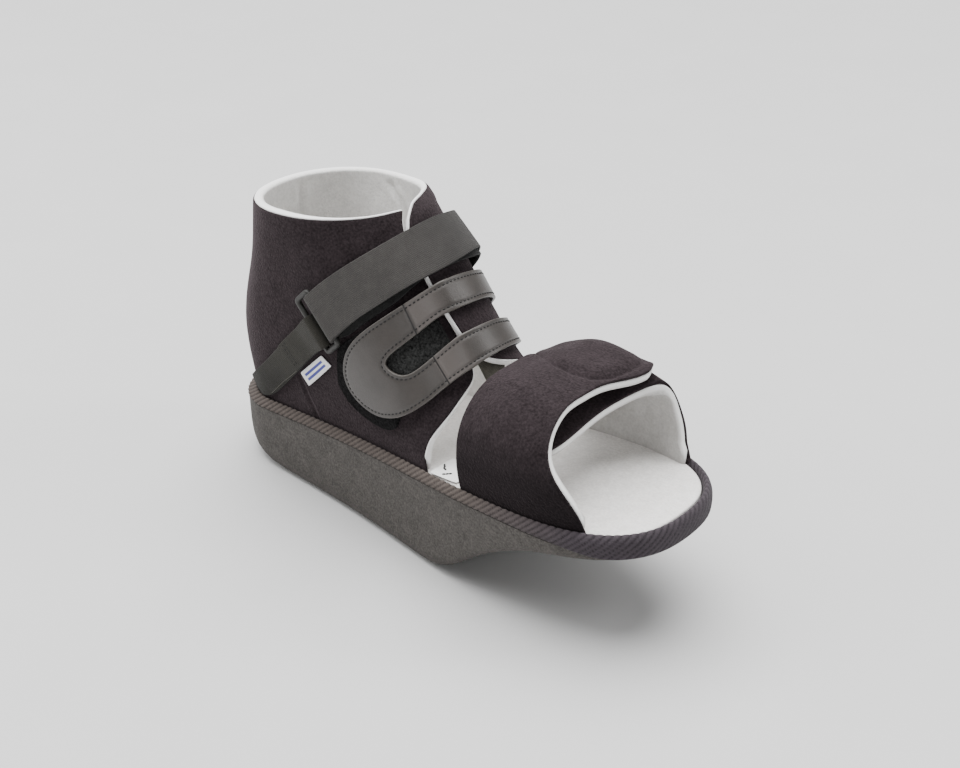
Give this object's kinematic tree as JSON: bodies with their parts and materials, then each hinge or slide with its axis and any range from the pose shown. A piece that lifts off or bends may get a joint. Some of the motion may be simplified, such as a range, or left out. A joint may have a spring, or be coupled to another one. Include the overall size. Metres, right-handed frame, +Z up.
{
  "type": "forefoot offloading shoe",
  "caption": "Post-surgery shoe with a thick heel-and-midfoot sole under a raised toe plate, a felt ankle cuff, wrap-over toe flaps and strap closures.",
  "frame": {"origin": "centre of the bounding box in plan, on the ground under the flat tread", "axes": "+X from heel to toe, +Y away from the fastening side, +Z up"},
  "size_m": [0.2848, 0.099, 0.1649],
  "materials": {
    "sole_foam": "matte moulded foam with fine speckle",
    "edge_tape": "ribbed woven tape",
    "dark_felt": "soft brushed felt, charcoal with a purple tint",
    "pale_lining": "pale brushed foam-backed cloth",
    "ring_plastic": "moulded dark plastic",
    "strap_webbing": "grey woven webbing",
    "tab_webbing": "olive woven webbing",
    "strap_leather": "synthetic leather, soft sheen",
    "black_pile": "black loop pile",
    "white_label": "white woven label"
  },
  "bodies": {
    "root": {"sole": "sole_foam", "insole": "pale_lining", "sole_binding": "edge_tape", "rear_upper": "dark_felt", "rear_lining": "pale_lining", "toe_near_outer": "dark_felt", "toe_near_lining": "pale_lining", "toe_far_outer": "dark_felt", "toe_far_lining": "pale_lining", "strap_ring": "ring_plastic", "ankle_strap": "strap_webbing", "heel_tab": "tab_webbing", "instep_strap": "strap_leather", "loop_patch": "black_pile", "side_tag": "white_label", "instep_facing": "tab_webbing", "size_label": "white_label"}
  },
  "joints": []
}
